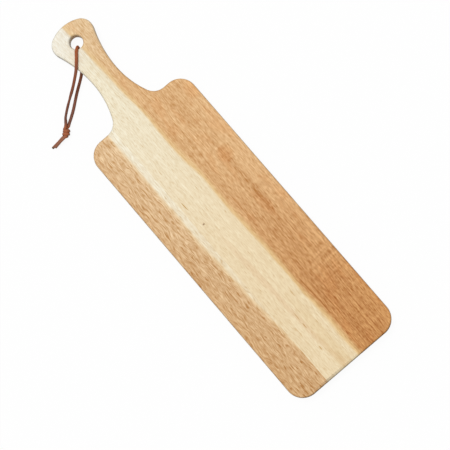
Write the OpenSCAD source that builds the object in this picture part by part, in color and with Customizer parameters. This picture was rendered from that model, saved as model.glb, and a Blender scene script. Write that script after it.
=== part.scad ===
// Paddle serving board: two edge-glued acacia staves with a handle, a hang hole and a knotted leather loop.
// Millimetres. The board lies flat: +X is across it, +Y runs to the handle's tip, +Z is up out of the serving face.
// The origin is the middle of the board. The loop lies beside the handle, with one strand under it.

/* [Board] */
// Width of the paddle, across the grain
board_w = 114; // [90:1:160]
// Length of the paddle, from its far end to the shoulders
paddle_l = 294.5; // [220:0.5:360]
// Thickness of both staves
board_t = 10; // [8:0.5:16]
// Radius of the far corners and of the shoulder corners
corner_r = 16.5; // [8:0.5:24]
// Radius that eases the edges of both faces
edge_r = 2; // [0.5:0.25:3.5]
// Where the glue line comes out on the handle's left inside corner, from 0 at the neck to 1 at the shoulder
glue_at = 0.56; // [0.2:0.02:0.9]

/* [Handle] */
// Length of the handle, from the shoulders to its tip
handle_l = 103; // [90:1:130]
// How far the handle's middle is from the paddle's middle
handle_shift = 1.5; // [-4:0.5:4]
// Width of the neck where it is narrowest
neck_w = 26.5; // [22:0.5:32]
// Distance from the tip to the narrowest place
neck_from_tip = 60; // [52:1:70]
// Radius of the hollow from the neck to the tip
tip_hollow_r = 115; // [80:1:160]
// Radius of the hollow from the neck to the shoulder
shoulder_hollow_r = 86; // [76:1:120]
// Radius of the inside corner between handle and shoulder
shoulder_fillet_r = 14; // [8:0.5:18]
// Radius of the tip's two corners
tip_corner_r = 12; // [8:0.5:15]
// Radius of the tip's rounded end
tip_end_r = 33; // [26:1:50]

/* [Hang hole] */
// Diameter of the hole
hole_d = 12.5; // [10:0.5:16]
// Distance from the tip to the middle of the hole
hole_from_tip = 19.5; // [17:0.5:26]
// Radius that eases the hole's two rims
hole_edge_r = 2; // [0.5:0.25:3]

/* [Leather loop] */
// Diameter of the leather cord
cord_d = 2.7; // [1.8:0.1:2.8]
// Gap that the cord keeps from the wood
cord_gap = 0.35; // [0.3:0.05:0.6]
// Direction of the loop from the hole, counter-clockwise from +X
loop_angle = 222.5; // [212:0.5:232]
// Distance from the hole to the knot's near end
knot_at = 77.5; // [72:0.5:95]
// Length of the knot
knot_l = 7.5; // [7:0.5:10]
// Width of the knot over its two wraps
knot_w = 6.6; // [6.2:0.1:8]
// Angle by which the knot's wraps lean
wrap_lean = 14; // [0:1:25]
// Angle between the loop's line and the middle line of the two cut ends
tail_angle = 36.5; // [20:0.5:45]
// Angle between the two cut ends
tail_spread = 5.5; // [4:0.5:12]
// Length of the longer cut end
tail_l = 14.5; // [8:0.5:24]
// How much shorter the other cut end is
tail_step = 1.2; // [0:0.1:3]

/* [Hidden] */
$fn = 64;

wide_wood = [0.83, 0.67, 0.48];
narrow_wood = [0.87, 0.75, 0.59];
leather = [0.55, 0.30, 0.20];

// Places along the board
tip_y = (paddle_l + handle_l) / 2;
end_y = -tip_y;
shoulder_y = tip_y - handle_l;
neck_y = tip_y - neck_from_tip;
hole_at = [handle_shift, tip_y - hole_from_tip];
over = 1;

// Direction of a vector, from 0 to 360
function way(v) = (atan2(v[1], v[0]) + 360) % 360;

// Where a circle of radius a about p and one of radius b about q cross, on the left of p to q
function crossing(p, a, q, b) =
    let (d = norm(q - p), u = (q - p) / d, k = (a * a - b * b + d * d) / (2 * d))
    p + k * u + sqrt(a * a - k * k) * [-u[1], u[0]];

// The right half of the handle, about its own middle line: each arc touches the next
end_c = [0, tip_y - tip_end_r];
tip_hollow_c = [neck_w / 2 + tip_hollow_r, neck_y];
shoulder_hollow_c = [neck_w / 2 + shoulder_hollow_r, neck_y];
tip_corner_c = crossing(end_c, tip_end_r - tip_corner_r, tip_hollow_c, tip_hollow_r + tip_corner_r);
fillet_y = shoulder_y + shoulder_fillet_r;
fillet_c = [
    shoulder_hollow_c[0] - sqrt(pow(shoulder_hollow_r - shoulder_fillet_r, 2) - pow(fillet_y - neck_y, 2)),
    fillet_y
];
end_a = way(tip_corner_c - end_c);
corner_a = way(tip_hollow_c - tip_corner_c) - 360;
hollow_a = way(tip_corner_c - tip_hollow_c);
fillet_a = way(fillet_c - shoulder_hollow_c);

// The glue line runs straight down the board from the left inside corner
glue_corner_x = shoulder_fillet_r * cos(fillet_a + glue_at * (270 - fillet_a));
glue_x = handle_shift - fillet_c[0] - glue_corner_x;

// An arc is [middle, radius, bulges out 1 or hollow -1, first angle, last angle, steps, last point is drawn]
handle_arcs = [
    [end_c, tip_end_r, 1, 90, end_a, 5, 0],
    [tip_corner_c, tip_corner_r, 1, end_a, corner_a, 10, 0],
    [tip_hollow_c, tip_hollow_r, -1, hollow_a, 180, 9, 0],
    [shoulder_hollow_c, shoulder_hollow_r, -1, 180, fillet_a, 8, 0]
];
handle_rungs = 32;
corner_x = board_w / 2 - corner_r;
paddle_arcs = [
    [[corner_x, shoulder_y - corner_r], corner_r, 1, 90, 0, 10, 1],
    [[corner_x, end_y + corner_r], corner_r, 1, 0, -90, 10, 1]
];

// A stretch of the inside corner between two angles
function fillet_arc(first, last, steps) = [fillet_c, shoulder_fillet_r, -1, first, last, steps, 1];

// The angle at which the glue line meets the left inside corner, in the outline moved in by inset
function glue_a(inset) = 360 - acos(glue_corner_x / (shoulder_fillet_r + inset));

// The points of arcs, moved into the wood by inset
function arc_points(a, inset) =
    [for (i = [0 : a[5] - 1 + a[6]])
        let (t = a[3] + (a[4] - a[3]) * i / a[5])
        a[0] + (a[1] - a[2] * inset) * [cos(t), sin(t)]];
function points(arcs, inset) = [for (a = arcs) each arc_points(a, inset)];
function backwards(list) = [for (i = [len(list) - 1 : -1 : 0]) list[i]];
function mirrored(list) = [for (p = list) [-p[0], p[1]]];
function shifted(list) = [for (p = list) p + [handle_shift, 0]];
function after_first(list) = [for (i = [1 : 1 : len(list) - 1]) list[i]];
function glue_end(inset) = [glue_x, end_y + inset];

// Outline of the wide stave, clockwise from the tip: right side, far end, glue line, left side of the handle
function wide_outline(inset) =
    let (
        right = points(concat(handle_arcs, [fillet_arc(fillet_a, 270, 8)]), inset),
        left = points(concat(handle_arcs, [fillet_arc(fillet_a, glue_a(inset), 5)]), inset)
    )
    concat(
        shifted(right),
        points(paddle_arcs, inset),
        [glue_end(inset)],
        shifted(backwards(after_first(mirrored(left))))
    );

// Outline of the narrow stave, clockwise from the far end of the glue line
function narrow_outline(inset) = concat(
    [glue_end(inset)],
    backwards(mirrored(points(paddle_arcs, inset))),
    shifted(mirrored(points([fillet_arc(270, glue_a(inset), 4)], inset)))
);

// The eased edge from the underside to the serving face, as [inset, height]
edge_steps = 5;
edge_rings = concat(
    [for (i = [0 : edge_steps]) let (t = 90 * i / edge_steps)
        [edge_r * (1 - sin(t)), -board_t / 2 + edge_r * (1 - cos(t))]],
    [for (i = [edge_steps : -1 : 0]) let (t = 90 * i / edge_steps)
        [edge_r * (1 - sin(t)), board_t / 2 - edge_r * (1 - cos(t))]]
);

// A closed skin over rings that have the same number of points, clockwise as seen from past the last ring.
// Each end is closed by rungs between the points on either side of its first one, and one face past them.
module skin(rings, rungs = 0) {
    n = len(rings[0]);
    last = (len(rings) - 1) * n;
    walls = [for (k = [0 : len(rings) - 2]) for (i = [0 : n - 1])
        [k * n + i, k * n + (i + 1) % n, (k + 1) * n + (i + 1) % n, (k + 1) * n + i]];
    end = concat(
        [for (i = [0 : 1 : rungs - 1]) i == 0 ? [0, 1, n - 1] : [i, i + 1, n - i - 1, n - i]],
        [[for (i = [rungs : n - max(rungs, 1)]) i]]
    );
    first_end = [for (f = end) backwards(f)];
    last_end = [for (f = end) [for (i = f) last + i]];
    polyhedron(
        points = [for (r = rings) each r],
        faces = concat(walls, first_end, last_end),
        convexity = 6
    );
}

// One ring of an outline that is already moved in, at a height
function at_height(outline, z) = [for (p = outline) [p[0], p[1], z]];

// What the drill and the rounding cutter take out of the handle
module hang_hole() {
    translate([hole_at[0], hole_at[1], 0]) {
        cylinder(d = hole_d, h = board_t + 2 * over, center = true);
        for (side = [0, 1])
            mirror([0, 0, side])
                rotate_extrude()
                    translate([hole_d / 2, board_t / 2 - hole_edge_r])
                        difference() {
                            translate([-over, 0]) square([hole_edge_r + over, hole_edge_r + over]);
                            translate([hole_edge_r, 0]) circle(r = hole_edge_r);
                        }
    }
}

// Heights of the cord: over the face, under the board, and in the knot. The table is below the lower strand.
cord_r = cord_d / 2;
over_z = board_t / 2 + cord_gap + cord_r;
under_z = -over_z;
table_z = under_z - cord_r;
knot_z = table_z + knot_w / 2;
bend_r = 2 * cord_d;
strand_y = cord_d / 2 + 0.05;
knot_end = knot_at + knot_l;
wraps_at = [0.27, 0.67];
cord_sides = 8;

// The strand stands upright in the hole, near the rim that it pulls on
upright = [3.1, 2];
rim_steps = 6;
rim_over = [for (i = [0 : rim_steps]) let (t = 90 * i / rim_steps)
    [upright[0] + bend_r * (1 - sin(t)), upright[1], over_z - bend_r * (1 - cos(t))]];
rim_under = [for (i = [rim_steps : -1 : 0]) let (t = 90 * i / rim_steps)
    [upright[0] + bend_r * (1 - sin(t)), upright[1], under_z + bend_r * (1 - cos(t))]];

// Route of the loop as [away from the hole, to its left, up], from the knot over the handle and back under it
over_route = [
    [knot_at, -strand_y, knot_z],
    [knot_at - 3.5, -strand_y, knot_z],
    [knot_at - 6.5, -2, knot_z + 0.1],
    [knot_at - 10, -2.3, knot_z + 0.4],
    [knot_at - 18, -1.7, knot_z + 1.6],
    [knot_at - 27, -0.1, knot_z + 3.9],
    [knot_at - 35, 1.7, knot_z + 6.8],
    [36, 2.9, over_z - 1.6],
    [30, 3.5, over_z - 0.2],
    [25, 3.6, over_z],
    [15, 2.7, over_z]
];
under_route = [
    [12, 2.4, under_z],
    [18, 4.8, under_z],
    [25, 6.3, under_z],
    [32, 6, under_z],
    [43, 4.6, under_z],
    [knot_at - 26, 3.9, under_z],
    [knot_at - 18, 3.3, under_z],
    [knot_at - 10, 2.3, under_z + 0.3],
    [knot_at - 3.5, strand_y, knot_z],
    [knot_at, strand_y, knot_z]
];

// Points on a smooth curve through a list of points, n to each span
function spline(p, n) =
    let (m = len(p) - 1)
    concat(
        [for (i = [0 : m - 1]) for (k = [0 : n - 1])
            let (a = p[max(i - 1, 0)], b = p[i], c = p[i + 1], d = p[min(i + 2, m)], t = k / n)
            b + 0.5 * t * (c - a + t * (2 * a - 5 * b + 4 * c - d + t * (3 * (b - c) + d - a)))],
        [p[m]]
    );
loop_line = concat(spline(over_route, 2), rim_over, rim_under, spline(under_route, 2));

// The cut ends leave the knot one over the other and run straight, and the upper one comes to rest on the lower one
upper_from = [knot_end, -0.5, knot_z + strand_y];
lower_from = [knot_end, -1.3, knot_z - strand_y];
upper_way = heading_at(tail_angle - tail_spread / 2);
lower_way = heading_at(tail_angle + tail_spread / 2);
upper_l = tail_l - tail_step;
upper_gap = min(abs(cross(upper_from + upper_l * upper_way - lower_from, lower_way)[2]), 2 * strand_y);
upper_z = under_z + sqrt(pow(2 * strand_y, 2) - pow(upper_gap, 2));
tail_steps = 5;
function heading_at(a) = [cos(a), -sin(a), 0];
function tail_line(from, way, l, end_z) =
    [for (i = [0 : tail_steps]) let (f = i / tail_steps) from + l * f * way + [0, 0, (end_z - from[2]) * f * f]];
upper_line = tail_line(upper_from, upper_way, upper_l, upper_z);
lower_line = tail_line(lower_from, lower_way, tail_l, under_z);

// Rings of a round cord along a line of points, carried along it without twist
function unit(v) = v / norm(v);
function heading(line, i, first, last) =
    i == 0 ? first : i == len(line) - 1 ? last : unit(line[i + 1] - line[i - 1]);
function square_to(v, t) = unit(v - (v * t) * t);
function cord_rings(line, first, last) =
    let (
        ways = [for (i = [0 : len(line) - 1]) heading(line, i, first, last)],
        sides = [for (i = 0, v = square_to([0, 1, 0], ways[0]); i < len(line);
            i = i + 1, v = i < len(line) ? square_to(v, ways[i]) : v) v]
    )
    [for (i = [0 : len(line) - 1]) let (v = sides[i], w = cross(ways[i], v))
        [for (k = [0 : cord_sides - 1]) let (t = -360 * (k + 0.5) / cord_sides)
            line[i] + cord_r * (cos(t) * v + sin(t) * w)]];

// The loop's own place: from the hole, toward where it lies
module at_loop() {
    translate([hole_at[0], hole_at[1], 0]) rotate(loop_angle) children();
}

module wide_stave() {
    color(wide_wood)
        difference() {
            skin([for (e = edge_rings) at_height(wide_outline(e[0]), e[1])], handle_rungs);
            hang_hole();
        }
}

module narrow_stave() {
    color(narrow_wood) skin([for (e = edge_rings) at_height(narrow_outline(e[0]), e[1])]);
}

module cord_loop() {
    color(leather) at_loop() skin(cord_rings(loop_line, [-1, 0, 0], [1, 0, 0]));
}

// Two leaning wraps round the pair of strands
wrap_r = cord_r;
wrap_proud = 0.35;
core_r = knot_w / 2 - wrap_proud;
module cord_knot() {
    color(leather)
        at_loop()
            translate([knot_at, 0, knot_z]) {
                rotate([0, 90, 0]) cylinder(r = core_r, h = knot_l);
                for (f = wraps_at)
                    translate([f * knot_l, 0, 0])
                        rotate([0, 90, wrap_lean])
                            rotate_extrude() translate([knot_w / 2 - wrap_r, 0]) circle(r = wrap_r);
            }
}

module cord_tail_inner() {
    color(leather) at_loop() skin(cord_rings(upper_line, [1, 0, 0], upper_way));
}

module cord_tail_outer() {
    color(leather) at_loop() skin(cord_rings(lower_line, [1, 0, 0], lower_way));
}

wide_stave();
narrow_stave();
cord_loop();
cord_knot();
cord_tail_inner();
cord_tail_outer();
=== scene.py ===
"""Paddle serving board: two edge-glued acacia staves with a handle, a hang hole and a knotted leather loop.

Lengths are millimetres in the part's own frame, and become metres as each mesh is made. The camera, the lamp
and the table's reach are in metres.
"""

from types import SimpleNamespace

import bpy
import numpy as np
from mathutils import Matrix


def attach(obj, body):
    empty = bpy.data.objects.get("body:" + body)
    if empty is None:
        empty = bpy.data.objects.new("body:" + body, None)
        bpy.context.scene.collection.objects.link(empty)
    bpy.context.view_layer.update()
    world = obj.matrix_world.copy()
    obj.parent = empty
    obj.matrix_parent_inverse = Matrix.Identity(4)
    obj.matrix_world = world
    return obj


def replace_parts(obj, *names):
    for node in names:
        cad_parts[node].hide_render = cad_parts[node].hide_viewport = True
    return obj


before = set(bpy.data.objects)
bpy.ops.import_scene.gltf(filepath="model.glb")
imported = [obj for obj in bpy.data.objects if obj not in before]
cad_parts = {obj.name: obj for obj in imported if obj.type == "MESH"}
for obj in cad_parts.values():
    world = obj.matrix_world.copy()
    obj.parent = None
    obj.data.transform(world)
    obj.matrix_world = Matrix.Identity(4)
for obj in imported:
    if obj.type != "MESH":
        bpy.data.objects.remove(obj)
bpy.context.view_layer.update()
MM = 0.001

# Sizes of the board, as in the part's source. GLUE_AT is the share of the left inside corner's turn at which
# the glue line meets it
BOARD_W = 114.0
PADDLE_L = 294.5
BOARD_T = 10.0
CORNER_R = 16.5
EDGE_R = 2.0
GLUE_AT = 0.56
HANDLE_L = 103.0
HANDLE_SHIFT = 1.5
NECK_W = 26.5
NECK_FROM_TIP = 60.0
TIP_HOLLOW_R = 115.0
SHOULDER_HOLLOW_R = 86.0
SHOULDER_FILLET_R = 14.0
TIP_CORNER_R = 12.0
TIP_END_R = 33.0
HOLE_D = 12.5
HOLE_FROM_TIP = 19.5
HOLE_EDGE_R = 2.0

# Sizes of the leather loop, as in the part's source
CORD_D = 2.7
CORD_GAP = 0.35
LOOP_ANGLE = 222.5
KNOT_AT = 77.5
KNOT_L = 7.5
KNOT_W = 6.6
CORD_R = CORD_D / 2
OVER_Z = BOARD_T / 2 + CORD_GAP + CORD_R
UNDER_Z = -OVER_Z
TABLE_Z = UNDER_Z - CORD_R
KNOT_Z = TABLE_Z + KNOT_W / 2
KNOT_END = KNOT_AT + KNOT_L

# The upright strand in the hole, as its place away from the hole's middle and to its left, and its turn over
# the rim, a little rounder than in the part's source
BEND_R = 2.1 * CORD_D
BEND_STEPS = 24
UPRIGHT = (3.5, 1.6)

# Section of the cord as shares of its radius, wide one way and thin the other, and how many sides it has
LACE_WIDE = 1.1
LACE_THIN = 0.84
CORD_SIDES = 20

# A level direction that no stretch of the cord runs along: the turn of its section is counted from it
LEVEL = np.array([0.8, 0.6, 0])

# The rim of a cut end is worn round over a length and by a share. The cord swells and thins by a share, with
# the sine of the way along it over a length
WORN_L = 0.7
WORN_SHARE = 0.35
UNEVEN_L = 3.1
UNEVEN_SHARE = 0.015

# Places along the board
HALF_T = BOARD_T / 2
TIP_Y = (PADDLE_L + HANDLE_L) / 2
END_Y = -TIP_Y
SHOULDER_Y = TIP_Y - HANDLE_L
NECK_Y = TIP_Y - NECK_FROM_TIP
HOLE_AT = np.array([HANDLE_SHIFT, TIP_Y - HOLE_FROM_TIP])

# A flat lip inside each eased edge keeps the shading of the faces even; steps round the edge, a corner of the
# paddle and the hole
LIP = 0.7
EDGE_STEPS = 10
CORNER_STEPS = 24
HOLE_STEPS = 64


def way(vector):
    """Direction of a flat vector in degrees, from 0 to 360."""
    return np.degrees(np.arctan2(vector[1], vector[0])) % 360


def crossing(p, a, q, b):
    """Where a circle of radius a about p and one of radius b about q cross, on the left of p to q."""
    gap = np.linalg.norm(q - p)
    along = (q - p) / gap
    reach = (a * a - b * b + gap * gap) / (2 * gap)
    return p + reach * along + np.sqrt(a * a - reach * reach) * np.array([-along[1], along[0]])


# The right half of the handle about its own middle line, where each arc touches the next: the middles of the
# arcs, the angles at which they meet, and the place across at which the glue line meets the inside corner
END_C = np.array([0, TIP_Y - TIP_END_R])
TIP_HOLLOW_C = np.array([NECK_W / 2 + TIP_HOLLOW_R, NECK_Y])
SHOULDER_HOLLOW_C = np.array([NECK_W / 2 + SHOULDER_HOLLOW_R, NECK_Y])
TIP_CORNER_C = crossing(END_C, TIP_END_R - TIP_CORNER_R, TIP_HOLLOW_C, TIP_HOLLOW_R + TIP_CORNER_R)
FILLET_Y = SHOULDER_Y + SHOULDER_FILLET_R
FILLET_REACH = np.sqrt((SHOULDER_HOLLOW_R - SHOULDER_FILLET_R) ** 2 - (FILLET_Y - NECK_Y) ** 2)
FILLET_C = np.array([SHOULDER_HOLLOW_C[0] - FILLET_REACH, FILLET_Y])
END_A = way(TIP_CORNER_C - END_C)
CORNER_A = way(TIP_HOLLOW_C - TIP_CORNER_C) - 360
HOLLOW_A = way(TIP_CORNER_C - TIP_HOLLOW_C)
FILLET_A = way(FILLET_C - SHOULDER_HOLLOW_C)
GLUE_CORNER_X = SHOULDER_FILLET_R * np.cos(np.radians(FILLET_A + GLUE_AT * (270 - FILLET_A)))
GLUE_X = HANDLE_SHIFT - FILLET_C[0] - GLUE_CORNER_X


def arc(middle, radius, first, last, steps):
    """Points on a circle of that radius about middle, from one angle to the other in equal steps."""
    t = np.radians(np.linspace(first, last, steps + 1))
    return middle + radius * np.stack([np.cos(t), np.sin(t)], axis=1)


def glue_angle(inset):
    """Angle on the inside corner, moved into the wood by inset, at which the glue line meets it."""
    return 360 - np.degrees(np.arccos(GLUE_CORNER_X / (SHOULDER_FILLET_R + inset)))


def half_handle(inset, last_angle):
    """Right side of the handle, moved in by inset: five arcs in touch, from the tip to an angle on the inside
    corner."""
    runs = [
        arc(END_C, TIP_END_R - inset, 90, END_A, steps=12),
        arc(TIP_CORNER_C, TIP_CORNER_R - inset, END_A, CORNER_A, steps=24),
        arc(TIP_HOLLOW_C, TIP_HOLLOW_R + inset, HOLLOW_A, 180, steps=24),
        arc(SHOULDER_HOLLOW_C, SHOULDER_HOLLOW_R + inset, 180, FILLET_A, steps=20),
        arc(FILLET_C, SHOULDER_FILLET_R + inset, FILLET_A, last_angle, steps=16),
    ]
    return np.concatenate([runs[0]] + [run[1:] for run in runs[1:]])


def paddle_side(inset):
    """Right side of the paddle: the shoulder's corner and the far corner, moved in by inset."""
    x = BOARD_W / 2 - CORNER_R
    upper = arc(np.array([x, SHOULDER_Y - CORNER_R]), CORNER_R - inset, 90, 0, CORNER_STEPS)
    lower = arc(np.array([x, END_Y + CORNER_R]), CORNER_R - inset, 0, -90, CORNER_STEPS)
    return np.concatenate([upper, lower])


# From the right half to the left, and from the handle's middle line to the board's
MIRROR = np.array([-1, 1])
SHIFT = np.array([HANDLE_SHIFT, 0])


def wide_edge(inset):
    """Free edge of the wide stave, clockwise from the glue line over the tip to the glue line's far end."""
    left = half_handle(inset, glue_angle(inset))[::-1] * MIRROR + SHIFT
    right = half_handle(inset, 270)[1:] + SHIFT
    return np.concatenate([left, right, paddle_side(inset), [[GLUE_X, END_Y + inset]]])


def narrow_edge(inset):
    """Free edge of the narrow stave, clockwise from the glue line's far end to its end at the handle."""
    corner = arc(FILLET_C, SHOULDER_FILLET_R + inset, 270, glue_angle(inset), steps=8) * MIRROR + SHIFT
    return np.concatenate([[[GLUE_X, END_Y + inset]], paddle_side(inset)[::-1] * MIRROR, corner])


def hole_edge(inset):
    """Rim of the hang hole, anticlockwise, moved into the wood by inset."""
    return arc(HOLE_AT, HOLE_D / 2 + inset, 0, 360, HOLE_STEPS)[:-1]


def eased_edge(radius):
    """Profile as rows of inset and height: a narrow flat lip and a quarter round at the underside, the
    straight side, and the same again at the top."""
    t = np.radians(np.linspace(0, 90, EDGE_STEPS + 1))
    quarter = np.stack([radius * (1 - np.sin(t)), radius * (1 - np.cos(t)) - HALF_T], axis=1)
    lower = np.concatenate([[[radius + LIP, -HALF_T]], quarter])
    return np.concatenate([lower, lower[::-1] * [1, -1]])


def carried(profile, outline):
    """Rings of points: the outline moved in by each inset of the profile, at that row's height."""
    flat = np.stack([outline(inset) for inset in profile[:, 0]])
    heights = np.broadcast_to(profile[:, 1, None, None], (*flat.shape[:2], 1))
    return np.concatenate([flat, heights], axis=2)


def band(rings, columns, closed, first=0):
    """Quads between neighbouring rings, facing left of the way along each ring; closed joins its two ends."""
    spans = columns if closed else columns - 1
    k, i = np.meshgrid(np.arange(rings - 1), np.arange(spans), indexing="ij")
    a = first + k * columns + i
    b = first + k * columns + (i + 1) % columns
    return np.stack([a, a + columns, b + columns, b], axis=-1).reshape(-1, 4)


def placed(name, data):
    """A new object in the scene that shows a mesh, a lamp or a camera."""
    made = bpy.data.objects.new(name, data)
    bpy.context.scene.collection.objects.link(made)
    return made


def piece(name, points, smooth_faces, flat_faces, finish, body):
    """A mesh at the origin from points in millimetres, with curved faces shaded smooth and flat ones flat."""
    mesh = bpy.data.meshes.new(name)
    faces = smooth_faces.tolist() + [list(face) for face in flat_faces]
    mesh.from_pydata((points * MM).tolist(), [], faces)
    mesh.polygons.foreach_set("use_smooth", np.arange(len(faces)) < len(smooth_faces))
    mesh.materials.append(finish)
    mesh.update()
    made = placed(name, mesh)
    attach(made, body)
    return made


def glue_face(rings, columns):
    """The flat face on the glue line, between the first and the last column of the edge."""
    up = np.arange(rings) * columns
    return np.concatenate([up + columns - 1, up[::-1]])


def narrow_stave(finish):
    """The eased edge carried along the stave's free outline, closed by the two faces and the glue face."""
    rings = carried(eased_edge(EDGE_R), narrow_edge)
    count, columns = rings.shape[:2]
    under = np.arange(columns)
    top = under[::-1] + (count - 1) * columns
    flat = [under, top, glue_face(count, columns)]
    return piece("narrow_stave_dressed", rings.reshape(-1, 3), band(count, columns, False), flat,
                 finish, "board")


def wide_stave(finish):
    """The eased edge carried along the free outline and round the hang hole. A line across the hole from side
    to side parts each face in two, the tip and the rest."""
    rings = carried(eased_edge(EDGE_R), wide_edge)
    hole = carried(eased_edge(HOLE_EDGE_R), hole_edge)
    count, columns = rings.shape[:2]
    first_hole = count * columns
    faces = np.concatenate([band(count, columns, False), band(count, HOLE_STEPS, True, first_hole)])
    beside = np.abs(rings[0, :, 1] - HOLE_AT[1])
    tip = np.argmax(rings[0, :, 1])
    left = np.argmin(beside[:tip])
    right = tip + np.argmin(beside[tip:])
    over_hole = first_hole + np.arange(HOLE_STEPS // 2, -1, -1)
    below_hole = first_hole + np.arange(HOLE_STEPS, HOLE_STEPS // 2 - 1, -1) % HOLE_STEPS
    tip_face = np.concatenate([np.arange(right, left - 1, -1), over_hole])
    rest_face = np.concatenate([np.arange(left, -1, -1), np.arange(columns - 1, right - 1, -1), below_hole])

    def raised(face):
        """The same face on the last ring of each band."""
        steps = np.where(face < first_hole, columns, HOLE_STEPS)
        return face + (count - 1) * steps

    flat = [raised(tip_face), raised(rest_face), tip_face[::-1], rest_face[::-1], glue_face(count, columns)]
    points = np.concatenate([rings.reshape(-1, 3), hole.reshape(-1, 3)])
    return piece("wide_stave_dressed", points, faces, flat, finish, "board")


# Route of the loop from the hole to the knot as [away from the hole, to its left, up], over and under the
# handle: the part's own route, eased a little where the strands bend and where they enter the knot
LAID_Z = OVER_Z - 0.3
OVER_ROUTE = np.array([
    [15, 2.5, LAID_Z],
    [25, 3.55, LAID_Z],
    [30, 3.55, LAID_Z],
    [36, 2.95, OVER_Z - 1.6],
    [KNOT_AT - 35, 1.7, KNOT_Z + 6.8],
    [KNOT_AT - 27, -0.1, KNOT_Z + 3.9],
    [KNOT_AT - 18, -1.7, KNOT_Z + 1.6],
    [KNOT_AT - 10, -2.4, KNOT_Z + 0.7],
    [KNOT_AT - 6.5, -1.85, KNOT_Z + 0.9],
    [KNOT_AT - 3.5, -1.25, KNOT_Z + 1.1],
    [KNOT_AT - 0.8, -1.2, KNOT_Z + 1],
    [KNOT_AT + 0.7, -1.6, KNOT_Z + 0.75],
])
UNDER_ROUTE = np.array([
    [12.5, 2.05, UNDER_Z],
    [18, 4.3, UNDER_Z],
    [25, 6.3, UNDER_Z],
    [32, 6, UNDER_Z],
    [43, 4.6, UNDER_Z],
    [KNOT_AT - 26, 3.9, UNDER_Z],
    [KNOT_AT - 18, 3.3, UNDER_Z],
    [KNOT_AT - 10, 2.2, UNDER_Z + 0.3],
    [KNOT_AT - 6, 1.5, KNOT_Z - 1.2],
    [KNOT_AT - 3, 1.15, KNOT_Z - 0.8],
    [KNOT_AT - 1, 1.05, KNOT_Z - 0.5],
])

# The strand inside the knot's wraps as [share of the knot's length, to the left, up], about the knot's middle
# line
CORE_ROUTE = np.array([
    [0.1, 0.2, -0.1],
    [0.3, 0, 0],
    [0.5, 0, 0],
    [0.7, -0.1, -0.1],
    [0.88, -0.35, -0.3],
    [1.03, -1.2, -0.8],
])

# The cut ends, from the knot to the cut: they lie side by side, and the upper one rests on the lower one
UPPER_TAIL = np.array([[KNOT_END + 1.6, -1.2, KNOT_Z + 1.5], [96.4, -8.15, UNDER_Z + 1.9]])
LOWER_TAIL = np.array([[KNOT_END + 1, -2.6, KNOT_Z - 1.1], [97.1, -11.05, UNDER_Z + 0.13]])
TAIL_STEPS = 20

# The wraps: how much the strand swells there, then the turn round the knot, the place along it and the width
# at six stations; CORE_SQUEEZE is how much the strand inside is squeezed
WRAP_SWELL = 0.12
WRAP_R = KNOT_W / 2 - CORD_R * LACE_THIN * (1 + WRAP_SWELL)
WRAP_TURNS = np.pi * np.array([-1.05, 0, 2, 3, 4, 4.55])
WRAP_PLACES = KNOT_AT + np.array([1.7, 2.1, 5.0, 6.1, 7.1, 8.2])
WRAP_WIDTHS = WRAP_R * np.array([1.06, 1.05, 1.08, 1.12, 0.38, 0.6])
WRAP_STEPS = 180
CORE_SQUEEZE = 0.45

# How the flat lace turns over, as rows of the way from the hole and the half turns
OVER_TURNS = np.array([[46, 0], [56, 0.5], [67, 0.5], [73, 1], [86, 1], [92, 1.5]])
UNDER_TURNS = np.array([[86, 0], [92, 0.5]])

# How light the leather is, as rows of the way from the hole and the share: rubbed leather, with painted shade
# in the dip where the strand crosses the handle's edge
RUBBED_AND_LIT = np.array([
    [14, 1],
    [27, 0.32],
    [31, 0.5],
    [38, 0.45],
    [48, 0.22],
    [60, 0.1],
    [KNOT_AT - 5, 0],
    [KNOT_AT, 1],
    [KNOT_END, 1],
    [KNOT_END + 2, 0.65],
])

# The share of that lighter colour on a strand's sides, and how much is added on its top as painted light and
# taken off its underside as painted shade
SIDES_RUBBED_AND_LIT = 0.8
TOP_PAINTED_LIGHT = 0.3

# Height over the knot's middle line at which its leather is as light as a strand's; from there down painted
# shade darkens it, into the knot's creases
KNOT_CROWN = 2.6

# How dry and grey the leather is, as rows of the way from the hole and the share
DRY = np.array([
    [KNOT_AT - 2, 0],
    [KNOT_AT + 1, 0.13],
    [KNOT_END, 0.13],
    [KNOT_END + 2, 0.3],
])


def smooth_line(points, per_span=10):
    """Catmull-Rom curve through points: on each span a cubic whose ends head along the neighbours' chords."""
    padded = np.concatenate([points[:1], points, points[-1:]])
    a, b, c, d = (padded[i:i + len(points) - 1, None] for i in range(4))
    t = (np.arange(per_span) / per_span)[None, :, None]
    curve = b + 0.5 * t * (c - a + t * (2 * a - 5 * b + 4 * c - d + t * (3 * (b - c) + d - a)))
    return np.concatenate([curve.reshape(-1, 3), points[-1:]])


def rim_bend(side):
    """From the middle of the upright strand in the hole, a quarter circle over the rim: side is 1 for the
    strand over the handle and -1 for the one under it."""
    t = np.radians(np.linspace(90, 0, BEND_STEPS + 1))
    turn = np.column_stack([
        UPRIGHT[0] + BEND_R * (1 - np.sin(t)),
        np.full(len(t), UPRIGHT[1]),
        side * (OVER_Z - BEND_R * (1 - np.cos(t))),
    ])
    return np.concatenate([[[UPRIGHT[0], UPRIGHT[1], 0]], turn])


def wrap_line():
    """A helix along the knot: from the strand's own side under it and over it, until it is on top again. Its
    turns are closer together at the start, and tighter at the end."""
    turn = np.linspace(WRAP_TURNS[0], WRAP_TURNS[-1], WRAP_STEPS + 1)
    x = np.interp(turn, WRAP_TURNS, WRAP_PLACES)
    width = np.interp(turn, WRAP_TURNS, WRAP_WIDTHS)
    return np.column_stack([x, width * np.cos(turn), KNOT_Z + WRAP_R * np.sin(turn)])


def core_line():
    """The strand inside the wraps, along the knot's middle line and out on its right."""
    return smooth_line(CORE_ROUTE * [KNOT_L, 1, 1] + [KNOT_AT, 0, KNOT_Z], per_span=4)


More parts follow.
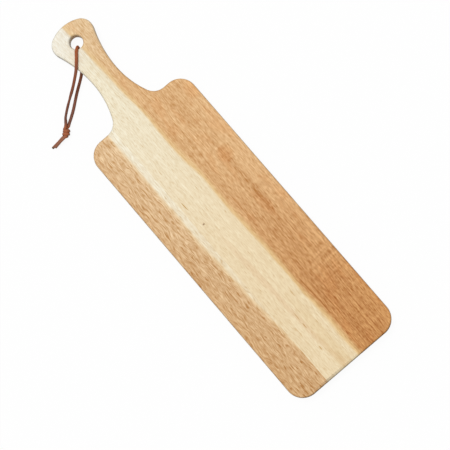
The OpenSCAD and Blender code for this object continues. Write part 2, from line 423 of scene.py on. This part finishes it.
def tail_line(ends):
    """A cut end: straight in plan, sinking with the square of the way along it."""
    f = np.linspace(0, 1, TAIL_STEPS + 1)[:, None]
    return ends[0] + np.concatenate([f, f, f * f], axis=1) * (ends[1] - ends[0])


def way_along(line):
    """Length of a line from its start to each of its points."""
    return np.concatenate([[0], np.cumsum(np.linalg.norm(np.diff(line, axis=0), axis=1))])


def even_line(*runs, step=0.4, same=1e-6, passes=4):
    """The runs of a route as one line in equal steps, without the points that repeat, and with its kinks
    taken out by averaging neighbours a few times."""
    points = np.concatenate(runs)
    gaps = np.linalg.norm(np.diff(points, axis=0), axis=1)
    points = points[np.concatenate([[True], gaps > same])]
    along = way_along(points)
    places = np.linspace(0, along[-1], int(along[-1] / step) + 1)
    line = np.column_stack([np.interp(places, along, points[:, i]) for i in range(3)])
    for _ in range(passes):
        line[1:-1] = (line[:-2] + 2 * line[1:-1] + line[2:]) / 4
    return line


def stretch(away, first, last, ease):
    """1 between two places on the way from the hole, easing from 0 over a length inside each end."""
    return np.clip((away - first) / ease, 0, 1) * np.clip((last - away) / ease, 0, 1)


def on_board(line):
    """Loop coordinates to the part's frame: turned to where the loop lies, about the hole."""
    a = np.radians(LOOP_ANGLE)
    turn = np.array([[np.cos(a), -np.sin(a), 0], [np.sin(a), np.cos(a), 0], [0, 0, 1]])
    return line @ turn.T + [HOLE_AT[0], HOLE_AT[1], 0]


def unit(vectors):
    """The same directions at length 1."""
    return vectors / np.linalg.norm(vectors, axis=-1, keepdims=True)


def lace(line, squeeze, twist):
    """Points of a cord and their places on the straightened cord: an oval section carried along the line,
    square to it and turned by the twist. It swells and thins a little, and the cut end's rim is worn."""
    heading = unit(np.gradient(line, axis=0))
    across = unit(LEVEL - (heading @ LEVEL)[:, None] * heading)
    above = np.cross(heading, across)
    along = way_along(line)
    worn = np.sqrt(1 - np.clip(1 - (along[-1] - along) / WORN_L, 0, 1) ** 2 * WORN_SHARE)
    uneven = 1 - UNEVEN_SHARE + UNEVEN_SHARE * np.sin(along / UNEVEN_L)
    radius = CORD_R * worn * uneven * (1 - squeeze)
    t = -2 * np.pi * np.arange(CORD_SIDES) / CORD_SIDES
    flatness = (LACE_WIDE - LACE_THIN) / 2 * np.cos(2 * (t - twist[:, None]))
    reach = radius[:, None] * ((LACE_WIDE + LACE_THIN) / 2 + flatness)
    spokes = np.cos(t)[:, None] * across[:, None] + np.sin(t)[:, None] * above[:, None]
    along_all = np.broadcast_to(along[:, None], reach.shape)
    straight = np.stack([along_all, reach * np.cos(t), reach * np.sin(t)], axis=-1)
    return line[:, None] + reach[..., None] * spokes, straight


def keep(made, name, values):
    """Stores a number or a vector for each point of a piece, for its finish to read."""
    kind, field = ("FLOAT_VECTOR", "vector") if values.ndim == 2 else ("FLOAT", "value")
    made.data.attributes.new(name, kind, "POINT").data.foreach_set(field, values.astype(np.float32).ravel())


def mark_leather(made, line, points, dark_end):
    """Stores how light the leather is: rubbed, with painted light on the strands' tops and painted shade
    under them and low in the knot. It also stores how dry it is, and how dark it is at its cut end: fully
    over half of dark_end, then fading over its length."""
    away = line[:, 0]
    along = way_along(line)
    raised = (points[..., 2] - line[:, None, 2]) / CORD_R
    # Painted shade: low in the knot, below its crown, the leather is darker
    below_crown = np.clip(1 - (points[..., 2] - KNOT_Z) / KNOT_CROWN, 0, 1)
    knot_shade = stretch(away, KNOT_AT, KNOT_END + 1, ease=1)[:, None] * below_crown
    rubbed_and_lit_along = np.interp(away, *RUBBED_AND_LIT.T)[:, None]
    # Painted light on the strands' tops and painted shade on their undersides
    rubbed_and_lit = rubbed_and_lit_along * np.clip(SIDES_RUBBED_AND_LIT + TOP_PAINTED_LIGHT * raised - knot_shade, 0, 1)
    keep(made, "rubbed_and_lit", rubbed_and_lit.ravel())
    keep(made, "dry", np.repeat(np.interp(away, *DRY.T), CORD_SIDES))
    keep(made, "cut", np.repeat(np.clip(1.5 - (along[-1] - along) / dark_end, 0, 1), CORD_SIDES))


def cord(name, line, squeeze, half_turns, dark_end, finish):
    """One half of the leather cord: a closed tube along the line, from the middle of the hole to the cut."""
    twist = np.pi * np.interp(line[:, 0], *half_turns.T)
    points, straight = lace(line, squeeze, twist)
    last = (len(line) - 1) * CORD_SIDES
    ends = [np.arange(CORD_SIDES), last + np.arange(CORD_SIDES)[::-1]]
    made = piece(name, on_board(points.reshape(-1, 3)), band(len(line), CORD_SIDES, True), ends,
                 finish, "loop")
    keep(made, "straight_cord", straight.reshape(-1, 3))
    mark_leather(made, line, points, dark_end)
    path = on_board(line) * MM
    return made


def tie_loop(finish):
    """The two halves of the cord, from the middle of the hole: one winds the knot, one goes through it."""
    over = even_line(rim_bend(1), smooth_line(OVER_ROUTE), wrap_line(), tail_line(UPPER_TAIL))
    under = even_line(rim_bend(-1), smooth_line(UNDER_ROUTE), core_line(), tail_line(LOWER_TAIL))
    swell = WRAP_SWELL * stretch(over[:, 0], KNOT_AT, KNOT_END + 1, ease=1)
    squeeze = CORE_SQUEEZE * stretch(under[:, 0], KNOT_AT - 2, KNOT_END, ease=2)
    front = cord("cord_over_handle", over, -swell, OVER_TURNS, dark_end=0.4, finish=finish)
    back = cord("cord_under_handle", under, squeeze, UNDER_TURNS, dark_end=1.3, finish=finish)
    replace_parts(front, "cord_loop", "cord_knot", "cord_tail_inner")
    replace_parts(back, "cord_tail_outer")


class Value:
    """One socket of a material. Sums and products of values add the Math nodes that work them out."""

    def __init__(self, tree, socket):
        self.tree = tree
        self.socket = socket

    def node(self, kind, settings=None, sockets=None, out=0):
        """Adds a node: its type, its settings, the values or links of its sockets, and the output to go on
        with."""
        made = self.tree.nodes.new("ShaderNode" + kind)
        for name, setting in (settings or {}).items():
            setattr(made, name, setting)
        for key, value in (sockets or {}).items():
            if isinstance(value, Value):
                self.tree.links.new(value.socket, made.inputs[key])
            else:
                made.inputs[key].default_value = value
        return Value(self.tree, made.outputs[out]) if made.outputs else None

    def math(self, operation, first, second):
        """A Math node on two values or numbers."""
        return self.node("Math", {"operation": operation}, {0: first, 1: second})

    def __add__(self, other):
        return self.math("ADD", self, other)

    def __radd__(self, other):
        return self.math("ADD", other, self)

    def __sub__(self, other):
        return self.math("SUBTRACT", self, other)

    def __rsub__(self, other):
        return self.math("SUBTRACT", other, self)

    def __mul__(self, other):
        return self.math("MULTIPLY", self, other)

    def __rmul__(self, other):
        return self.math("MULTIPLY", other, self)

    def at_most(self, limit):
        """This value, or the limit where it is past it."""
        return self.math("MINIMUM", self, limit)

    def rise(self, low, high, most=1.0):
        """A smooth step from 0 at low to most at high."""
        return self.node("MapRange", {"interpolation_type": "SMOOTHSTEP"},
                         {"Value": self, "From Min": low, "From Max": high, "To Max": most})

    def between(self, first, second):
        """A colour between two, by this value from 0 to 1."""
        return self.node("Mix", {"data_type": "RGBA"}, {0: self, 6: first, 7: second}, out=2)

    def mixed(self, other, share):
        """This colour with a share of the other."""
        return self.node("Mix", {"data_type": "RGBA"}, {0: share, 6: self, 7: other}, out=2)

    def tinted(self, colour):
        """This colour multiplied by another."""
        return self.node("Mix", {"data_type": "RGBA", "blend_type": "MULTIPLY"},
                         {0: 1.0, 6: self, 7: colour}, out=2)


def srgb(red, green, blue):
    """A colour as a picture shows it, from 0 to 255, in the linear values that a material takes."""
    part = np.array([red, green, blue]) / 255
    linear = np.where(part <= 0.04045, part / 12.92, ((part + 0.055) / 1.055) ** 2.4)
    return (*linear, 1.0)


def grey(level):
    """A grey of that linear level."""
    return (level, level, level, 1.0)


# Colours of the wide stave, near the handle, at the far end and at the tip, and of its marks
SAPWOOD_NEAR = srgb(240, 230, 203)
SAPWOOD_FAR = srgb(237, 216, 177)
SAPWOOD_TIP = srgb(241, 235, 219)
HEARTWOOD_NEAR = srgb(221, 176, 123)
HEARTWOOD_FAR = srgb(199, 140, 80)
HEARTWOOD_TIP = srgb(226, 192, 146)
HONEY = srgb(230, 192, 130)
VEIN = srgb(220, 183, 138)
END_STAIN = srgb(225, 196, 146)
PIN_KNOT_BROWN = srgb(132, 88, 45)
WARM_TINT = (0.97, 0.82, 0.66, 1)

# Colours of the narrow stave, near the handle and at the far end, along its honey edge and its outer edge
NARROW_SAPWOOD_NEAR = srgb(241, 231, 206)
NARROW_SAPWOOD_FAR = srgb(233, 212, 175)
NARROW_HEARTWOOD_NEAR = srgb(222, 185, 139)
NARROW_HEARTWOOD_FAR = srgb(209, 167, 118)
NARROW_HONEY = srgb(230, 196, 146)
NARROW_EDGE = srgb(209, 164, 112)

# Grey that the long sides go towards, tint of the dark ends: end grain, and painted shade on the edges that
# face away from the tip; and how much of each there is
SIDE_GREY = srgb(163, 153, 138)
SIDE_GREY_SHARE = 0.48
END_GRAIN_AND_SHADE_TINT = (0.26, 0.25, 0.24, 1)
END_GRAIN_AND_SHADE_SHARE = 0.64

# Colours of the leather: as it is, rubbed and with painted light, dry and at the cut
LEATHER = srgb(112, 71, 56)
LEATHER_RUBBED_AND_LIT = srgb(158, 85, 49)
LEATHER_DRY = srgb(160, 125, 105)
LEATHER_CUT = srgb(84, 72, 48)

# Roughness and gloss of the oiled wood and of the waxed leather, before their grain is added
OILED_ROUGHNESS = 0.5
OILED_GLOSS = 0.25
LEATHER_ROUGHNESS = 0.52
LEATHER_GLOSS = 0.15

# Scale of the leather's fibres along the straightened cord, across it and through it
LEATHER_DRAWN = (0.06, 1.0, 1.0)

# The darkest and the lightest tint of a grain: brown streaks in wood take out more blue than red
WOOD_TINTS = ((0.67, 0.48, 0.22, 1), (1.33, 1.52, 1.78, 1))
LEATHER_TINTS = ((0.6, 0.55, 0.5, 1), (1.4, 1.45, 1.5, 1))

# Edge of the wide stave's heartwood: its place across at the board's middle, its slope and its bend along it,
# the depth over which the wood turns brown, and the share of honey in front of it
WIDE_HEART_X = 7.65
WIDE_HEART_SLOPE = 0.0262
WIDE_HEART_BEND = 0.00007
WIDE_HEART_EASE = 6
WIDE_HONEY_SHARE = 0.85

# Edge of the narrow stave's heartwood: its place across, its bend from a place on towards the far end, the
# depth over which the wood turns brown, and the share of honey in front of it
NARROW_HEART_X = -31.2
NARROW_HEART_BEND = 0.00024
NARROW_BEND_FROM = 10
NARROW_HEART_EASE = 4
NARROW_HONEY_SHARE = 0.8

# Both edges slant by this much across for each millimetre down into the board
HEART_SLANT = 0.4

# How far the grain's lines and its straighter threads wander in the wide stave, and curl in the narrow one
LINES_WANDER = 5.0
THREADS_WANDER = 2.8
NARROW_CURL = 7.0

# The brown vein in the sapwood: its place across, and its bend from a place on towards the far end
VEIN_X = -13
VEIN_BEND = 0.00035
VEIN_BEND_FROM = -30

# Marks of this board as rows of place across and along, half width, half length and strength
SAP_TICKS = [
    (-21, 1.2, 0.6, 6, 0.6),
    (-2.1, 27, 0.5, 3, 0.2),
    (-3, 19, 0.5, 2.5, 0.18),
    (-1.9, 7, 0.5, 3, 0.2),
    (-17.8, 38.5, 0.5, 3.5, 0.25),
    (-18.5, -22.8, 2.5, 6, 0.06),
    (-18.5, -100, 0.5, 3, 0.3),
    (-4.6, -67.5, 0.5, 3, 0.25),
    (-8.6, -137.6, 0.6, 5, 0.4),
    (-8.6, -148, 0.6, 4, 0.45),
    (2.1, -119.8, 0.7, 4.5, 0.3),
    (-16.4, -149.5, 0.5, 7, 0.3),
    (-10.4, -172, 0.6, 3.5, 0.45),
    (-2.3, -188, 2.5, 8, 0.1),
    (-4, -100, 1.2, 55, 0.07),
]
PIN_KNOT = [(-18.8, -22, 1.2, 1.1, 0.75)]
HEART_LINES = [
    (20.5, 38, 0.8, 42, 0.2),
    (45, 88, 0.8, 10, 0.25),
    (27, -60, 5, 150, 0.05),
    (38.5, 20, 5, 80, 0.08),
    (29.5, 15, 4, 55, -0.07),
    (40, -35, 5, 20, 0.15),
    (34, -35, 3, 18, -0.1),
    (39, -125, 5, 20, 0.15),
    (27, -60, 5, 26, 0.12),
    (12.5, 86, 3, 14, 0.12),
    (34, 70, 5, 28, 0.11),
    (49, -95, 4, 18, -0.11),
    (49, -155, 4, 18, -0.11),
    (29, -185, 8, 14, 0.11),
    (19, -125, 5, 45, 0.09),
]
NARROW_PLACES = [
    (-51, -5, 3, 14, -0.16),
    (-39.5, 5, 3, 30, 0.12),
    (-52, -55, 5, 30, 0.12),
    (-44, 50, 5, 30, 0.09),
    (-43, -65, 3, 14, 0.1),
]
CURLY_PLACES = [
    (44, -124, 24, 36, 1.0),
    (38, 14, 12, 14, 0.9),
    (42, -35, 20, 26, 0.5),
    (36, -175, 18, 24, 0.5),
]
WARM_PLACES = [(38, 14, 9, 10, 0.6), (52, 78, 8, 12, 0.5)]
STAINED_PLACES = [(-2, -200, 8, 100, 0.45)]
# Round the hole the ends' darkening, end grain and painted shade, is held back
END_DARKENING_HELD_BACK = [(*HOLE_AT, 14, 14, 0.75)]


def cleared(owner):
    """Empties the nodes of a material or a world, and gives a value to start its formulas from."""
    owner.use_nodes = True
    owner.node_tree.nodes.clear()
    return Value(owner.node_tree, None)


def board_place(start):
    """The point's own place on the board in millimetres: x across, y along and z up."""
    metres = start.node("TexCoord", out="Object")
    place = metres.node("VectorMath", {"operation": "SCALE"}, {0: metres, "Scale": 1 / MM})
    split = place.node("SeparateXYZ", None, {0: place}).socket.node
    x, y, z = (Value(place.tree, socket) for socket in split.outputs)
    return SimpleNamespace(x=x, y=y, z=z)


def noise(place, scale, detail, roughness=0.5):
    """Noise about 0 at a place."""
    sockets = {"Vector": place, "Scale": scale, "Detail": detail, "Roughness": roughness}
    return place.node("TexNoise", None, sockets) - 0.5


def grain(across, at, width, length, depth, detail=1.0, seed=0.0):
    """Noise about 0, drawn out along the board: about width across, length along and depth through."""
    stretched = {0: across * (1 / width) + seed, 1: at.y * (1 / length), 2: at.z * (1 / depth)}
    return noise(across.node("CombineXYZ", None, stretched), 1.0, detail, roughness=0.55)


def open_pores(across, at):
    """Short fine pores along the grain, from 0 to 1."""
    return grain(across, at, width=0.4, length=4.5, depth=0.4, detail=0.0, seed=13.0).rise(0.1, 0.22)


def oval(x, y, across, along, half_width, half_length, strength):
    """A soft oval that fades from its strength near the middle to 0 at its rim."""
    over = (x - across) * (1 / half_width)
    past = (y - along) * (1 / half_length)
    return (over * over + past * past).rise(1.0, 0.1, most=strength)


def ovals(x, y, places):
    """Sum of soft ovals on the face, one for each row of a list of marks."""
    return sum(oval(x, y, *place) for place in places)


def streaked(colour, tints, tone):
    """The colour between its darkest and its lightest tint, by a tone about 0."""
    darkest, lightest = tints
    return colour.tinted(darkest).mixed(colour.tinted(lightest), tone + 0.5)


def pale_joint(at, side):
    """A line that is a little paler beside the glue joint, on the handle's half; side is 1 right, -1 left."""
    return (at.x - GLUE_X).rise(side * 0.8, side * 0.1, most=0.06) * at.y.rise(-60, 0)


def edge_shares(start):
    """How much of the surface is dark end grain and how much is a long side, from 0 on the board's faces. The
    first share is 0.7 at the tip and 1.5 at the far end: end grain, with painted shade added on the edges
    that face away from the tip and the lamp. The second is 1 on a long side."""
    outward = start.node("TexCoord", out="Normal")
    across = outward.node("SeparateXYZ", None, {0: outward}, out=0)
    along = outward.node("SeparateXYZ", None, {0: outward}, out=1)
    # The first term is end grain; the second is painted shade on the edges that face away from the tip and
    # the lamp
    ends = (along * along).rise(0.1, 0.9, most=0.7) + along.rise(-0.2, -0.75, most=0.8)
    return ends, (across * across).rise(0.2, 0.8)


def bumps(height, strength, deep):
    """Normal of a surface that its height raises, by so many millimetres for a height of 1."""
    return height.node("Bump", None, {"Strength": strength, "Distance": deep * MM, "Height": height})


def coated(colour, roughness, normal, gloss):
    """Ends a material with a Principled surface."""
    sockets = {"Base Color": colour, "Roughness": roughness, "Normal": normal, "Specular IOR Level": gloss}
    surface = colour.node("BsdfPrincipled", None, sockets)
    colour.node("OutputMaterial", None, {"Surface": surface})


def oiled(wood, ends, sides, fibre, pores):
    """Satin oil over the wood: open pores are hollow and dull, the long sides are greyer, and the ends go
    dark:
    end grain that drinks the oil, with painted shade on those that face away from the tip."""
    wood = wood.mixed(SIDE_GREY, sides * SIDE_GREY_SHARE)
    # The ends' darkening is end grain, with painted shade on the edges that face away from the tip
    wood = wood.mixed(wood.tinted(END_GRAIN_AND_SHADE_TINT), ends * END_GRAIN_AND_SHADE_SHARE)
    roughness = OILED_ROUGHNESS + fibre * 0.3 + pores * 0.15 + ends * 0.15
    coated(wood, roughness, bumps(fibre * 0.6 - pores, strength=0.35, deep=0.25), OILED_GLOSS)


def wide_place(start):
    """What the wide stave's colours go by: the point's place, the grain's wandering lines and its straighter
    threads, the depth inside the heartwood in millimetres, and shares for the heartwood, the top and the far
    end."""
    at = board_place(start)
    wander = grain(at.x, at, width=14, length=45, depth=14)
    at.lines = at.x + wander * LINES_WANDER
    at.threads = at.x + wander * THREADS_WANDER
    edge = at.lines + at.y * WIDE_HEART_SLOPE + at.y * at.y * WIDE_HEART_BEND - WIDE_HEART_X
    at.heart_depth = edge + (HALF_T - at.z) * HEART_SLANT
    at.in_heart = at.heart_depth.rise(0, WIDE_HEART_EASE)
    at.on_top = at.z.rise(2, 4)
    at.far = at.y.rise(60, -190)
    return at


def wide_sapwood(at):
    """Pale wood that yellows towards the far end, with a brown vein on top and a stain at the end."""
    sapwood = at.y.rise(172, -85).between(SAPWOOD_NEAR, SAPWOOD_FAR)
    sapwood = sapwood.mixed(SAPWOOD_TIP, at.y.rise(145, 190))
    past_bend = (at.y - VEIN_BEND_FROM).at_most(0.0)
    beside_vein = at.lines - VEIN_X - past_bend * past_bend * VEIN_BEND
    vein = (beside_vein * beside_vein).rise(11, 0.5) * at.y.rise(-15, -90, most=0.4)
    sapwood = sapwood.mixed(VEIN, vein * at.on_top)
    return sapwood.mixed(END_STAIN, ovals(at.x, at.y, STAINED_PLACES))


def wide_heartwood(at):
    """Brown wood that deepens towards the far end, with warmer bands and places."""
    heartwood = at.far.between(HEARTWOOD_NEAR, HEARTWOOD_FAR)
    heartwood = heartwood.mixed(HEARTWOOD_TIP, at.y.rise(100, 180))
    warm_bands = grain(at.lines, at, width=9, length=32, depth=12, seed=23.0).rise(0.0, 0.2, most=0.45)
    warmth = warm_bands + ovals(at.x, at.y, WARM_PLACES)
    return heartwood.mixed(heartwood.tinted(WARM_TINT), warmth)


def wide_tone(at, fibre, pores):
    """Tone of the grain about 0: bold flecks, streaks, dark lines, bands and curly bars in the heartwood,
    faint flecks, streaks, bands and fine specks in the sapwood, this board's own marks, and a painted
    highlight that lightens it towards the right edge."""
    flecks = grain(at.threads, at, width=0.9, length=5, depth=1.6, detail=2.0, seed=1.0)
    streaks = grain(at.threads, at, width=1.1, length=80, depth=3, seed=3.0)
    dark_lines = grain(at.threads, at, width=1.4, length=90, depth=4, seed=17.0).rise(0.1, 0.22, most=0.16)
    bands = grain(at.heart_depth, at, width=5, length=130, depth=12, detail=2.0, seed=5.0)
    bars = grain(at.x, at, width=12, length=2.7, depth=10, seed=9.0) * ovals(at.x, at.y, CURLY_PLACES)
    specks = grain(at.threads, at, width=0.8, length=6, depth=2, seed=21.0).rise(0.12, 0.25, most=0.14)
    heart = flecks * 1.25 + streaks * (0.5 + at.far * 0.3) - dark_lines + bands * 0.5 + bars * 0.75
    sap = flecks * 0.4 + streaks * 0.2 + bands * 0.2 - specks
    tone = sap + (heart * (1 + at.far * 0.45) - sap) * at.in_heart + fibre * 0.4 - pores * 0.1
    # Painted highlight: the tone rises towards the right edge, from 47 to 55 mm across
    marks = ovals(at.lines, at.y, SAP_TICKS + HEART_LINES) * at.on_top - at.x.rise(47, 55, most=0.18)
    return tone - marks + pale_joint(at, 1)


def wide_finish():
    """Oiled acacia: brown heartwood on the right, a soft honey edge and pale sapwood to the glue line, with a
    pin knot, and less darkening of the ends, end grain and painted shade, round the hole."""
    made = bpy.data.materials.new("acacia_wide")
    start = cleared(made)
    at = wide_place(start)
    sapwood = wide_sapwood(at)
    wood = sapwood.mixed(sapwood.mixed(HONEY, WIDE_HONEY_SHARE), at.heart_depth.rise(-1.4, 1.6))
    wood = wood.mixed(wide_heartwood(at), at.in_heart)
    fibre = grain(at.threads, at, width=0.3, length=9, depth=0.5, seed=7.0)
    pores = open_pores(at.threads, at)
    wood = streaked(wood, WOOD_TINTS, wide_tone(at, fibre, pores))
    wood = wood.mixed(PIN_KNOT_BROWN, ovals(at.lines, at.y, PIN_KNOT) * at.on_top)
    ends, sides = edge_shares(start)
    # Less of the ends' darkening, end grain and painted shade, round the hole
    oiled(wood, ends * (1 - ovals(at.x, at.y, END_DARKENING_HELD_BACK)), sides, fibre, pores)
    return made


def narrow_place(start):
    """What the narrow stave's colours go by: the point's place, the grain's curling lines, the depth inside
    the heartwood in millimetres, and the share of heartwood."""
    at = board_place(start)
    curl = grain(at.x, at, width=7, length=20, depth=9, detail=2.0, seed=2.0) * NARROW_CURL
    at.lines = at.x + curl
    past_bend = (at.y - NARROW_BEND_FROM).at_most(0.0)
    edge = past_bend * past_bend * NARROW_HEART_BEND + NARROW_HEART_X - at.x
    at.heart_depth = edge + (HALF_T - at.z) * HEART_SLANT + curl * 0.5
    at.in_heart = at.heart_depth.rise(0, NARROW_HEART_EASE)
    return at


def narrow_colour(at):
    """A pale strip of sapwood along the glue line, a honey edge, and brown heartwood that deepens at the
    outer edge."""
    sapwood = at.y.rise(120, -150).between(NARROW_SAPWOOD_NEAR, NARROW_SAPWOOD_FAR)
    heartwood = at.y.rise(100, -200).between(NARROW_HEARTWOOD_NEAR, NARROW_HEARTWOOD_FAR)
    heartwood = heartwood.mixed(NARROW_EDGE, at.x.rise(-41, -55, most=0.5))
    honey = sapwood.mixed(NARROW_HONEY, NARROW_HONEY_SHARE)
    wood = sapwood.mixed(honey, at.heart_depth.rise(-2.0, 1.5))
    return wood.mixed(heartwood, at.in_heart)


def narrow_tone(at, fibre, pores):
    """Tone of the grain about 0: bold flecks, streaks and dark dashes, fainter in the sapwood, and this
    board's own marks."""
    flecks = grain(at.lines, at, width=1.0, length=7, depth=1.8, detail=2.0, seed=1.0)
    streaks = grain(at.lines, at, width=1.6, length=40, depth=3, seed=3.0)
    dashes = grain(at.lines, at, width=1.0, length=9, depth=2, seed=15.0).rise(0.08, 0.17, most=0.4)
    tone = flecks * 1.7 + streaks * 0.3 + fibre * 0.5 - pores * 0.1 - dashes + 0.05
    return tone * (0.4 + at.in_heart * 0.6) - ovals(at.x, at.y, NARROW_PLACES) + pale_joint(at, -1)


def narrow_finish():
    """Oiled acacia: a pale strip of sapwood along the glue line, and curly brown heartwood to the edge."""
    made = bpy.data.materials.new("acacia_narrow")
    start = cleared(made)
    at = narrow_place(start)
    fibre = grain(at.lines, at, width=0.3, length=8, depth=0.5, seed=7.0)
    pores = open_pores(at.lines, at)
    wood = streaked(narrow_colour(at), WOOD_TINTS, narrow_tone(at, fibre, pores))
    ends, sides = edge_shares(start)
    oiled(wood, ends, sides, fibre, pores)
    return made


def stored(start, name, out="Fac"):
    """What keep() stored for the point under that name."""
    return start.node("Attribute", {"attribute_name": name}, out=out)


def leather_finish():
    """Waxed reddish leather with a fine grain: lighter where it is rubbed and where light is painted on,
    darker where shade is painted, grey where it is dry, and dark where it is cut."""
    made = bpy.data.materials.new("waxed_leather")
    start = cleared(made)
    place = stored(start, "straight_cord", out="Vector")
    cut = stored(start, "cut")
    drawn_out = place.node("VectorMath", {"operation": "MULTIPLY"}, {0: place, 1: LEATHER_DRAWN})
    mottle = noise(drawn_out, scale=0.5, detail=2.0)
    fibres = noise(drawn_out, scale=2.5, detail=2.0)
    pebble = noise(place, scale=3.0, detail=3.0, roughness=0.6)
    # The stored lighter share holds rubbed leather with painted light and shade
    leather = stored(start, "rubbed_and_lit").between(LEATHER, LEATHER_RUBBED_AND_LIT)
    leather = streaked(leather, LEATHER_TINTS, mottle * 0.7 + fibres * 0.35 + pebble * 0.35)
    leather = leather.mixed(LEATHER_DRY, stored(start, "dry"))
    leather = leather.mixed(LEATHER_CUT, cut * 0.85)
    roughness = LEATHER_ROUGHNESS + pebble * 0.5 + cut * 0.3
    coated(leather, roughness, bumps(pebble + fibres * 0.5, strength=0.4, deep=0.2), LEATHER_GLOSS)
    return made


# The table: its reach, its gap under the loop, its greys for rays that light others and for those that look
# at it, and the share of plain white that these see
TABLE_REACH = 3.0
TABLE_GAP = 0.02
TABLE_LIT = grey(0.6)
TABLE_SEEN = grey(0.92)
TABLE_WHITE_SHARE = 0.94
WHITE = grey(1.0)

# The lamp's width, power and place, and the strength of the even light of the room
LAMP_W = 4.8
LAMP_POWER = 518
LAMP_AT = (-0.3, 2.85, 9.0)
ROOM_LIGHT = 0.45

# The camera: its place, its focal length and the picture's width in pixels, and how it is turned from
# straight down with the tip up the picture: about its own axis, then towards the tip, then to the left, in
# degrees
CAMERA_AT = (-0.00029, -0.16031, 1.19999)
FOCAL_PX = 1355
PICTURE_PX = 450
SENSOR_W = 36.0
CAMERA_ROLL = -40.642
CAMERA_TO_TIP = 5.992
CAMERA_TO_LEFT = 0.179


def seen_rays(start):
    """1 for rays that look at a thing straight, in gloss or through glass, 0 for those that light others."""
    kinds = ("Camera", "Glossy", "Transmission")
    straight, in_gloss, through = (start.node("LightPath", out=f"Is {kind} Ray") for kind in kinds)
    return straight + in_gloss + through


def table_finish():
    """A pale table. To rays that look at it, it is mostly plain white, and it keeps a soft shadow."""
    made = bpy.data.materials.new("pale_table")
    start = cleared(made)
    seen = seen_rays(start)
    plain = start.node("BsdfDiffuse", None, {"Color": seen.between(TABLE_LIT, TABLE_SEEN)})
    white = start.node("Emission", None, {"Color": WHITE, "Strength": 1.0})
    table = start.node("MixShader", None, {0: seen * TABLE_WHITE_SHARE, 1: plain, 2: white})
    start.node("OutputMaterial", None, {"Surface": table})
    return made


def lay_table():
    """A wide flat table under the loop's lowest strand."""
    mesh = bpy.data.meshes.new("table")
    corners = TABLE_REACH * np.array([[-1, -1], [1, -1], [1, 1], [-1, 1]])
    height = (TABLE_Z - TABLE_GAP) * MM
    mesh.from_pydata(np.column_stack([corners, np.full(4, height)]).tolist(), [], [[0, 1, 2, 3]])
    mesh.materials.append(table_finish())
    placed("table", mesh)


def facing(place, towards):
    """A matrix that puts an object at place, in metres, with its -Z axis towards a point."""
    back = unit(np.array(place) - towards)
    right = unit(np.cross([0, 1, 0], back))
    axes = np.column_stack([right, np.cross(back, right), back, place])
    return Matrix(np.vstack([axes, [0, 0, 0, 1]]).tolist())


def light_the_table():
    """One wide soft lamp beyond the handle, and an even room that looks white."""
    lamp = bpy.data.lights.new("window", "AREA")
    lamp.shape = "DISK"
    lamp.size = LAMP_W
    lamp.energy = LAMP_POWER
    placed("window", lamp).matrix_world = facing(LAMP_AT, (0, 0, 0))
    world = bpy.data.worlds.new("room")
    start = cleared(world)
    even = start.node("Background", None, {"Color": WHITE, "Strength": ROOM_LIGHT})
    white = start.node("Background", None, {"Color": WHITE, "Strength": 1.0})
    room = start.node("MixShader", None, {0: seen_rays(start), 1: even, 2: white})
    start.node("OutputWorld", None, {"Surface": room})
    bpy.context.scene.world = world


def set_camera():
    """The photograph's view: from above the paddle, turned so that the handle points to the upper left."""
    camera = bpy.data.cameras.new("camera")
    camera.sensor_width = SENSOR_W
    camera.lens = SENSOR_W * FOCAL_PX / PICTURE_PX
    turn = Matrix.Translation(CAMERA_AT)
    for angle, axis in ((CAMERA_TO_LEFT, "Y"), (CAMERA_TO_TIP, "X"), (CAMERA_ROLL, "Z")):
        turn = turn @ Matrix.Rotation(np.radians(angle), 4, axis)
    made = placed("camera", camera)
    made.matrix_world = turn
    bpy.context.scene.camera = made


set_camera()
light_the_table()
lay_table()
tie_loop(leather_finish())
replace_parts(wide_stave(wide_finish()), "wide_stave")
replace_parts(narrow_stave(narrow_finish()), "narrow_stave")
bpy.context.scene.view_settings.view_transform = "Standard"
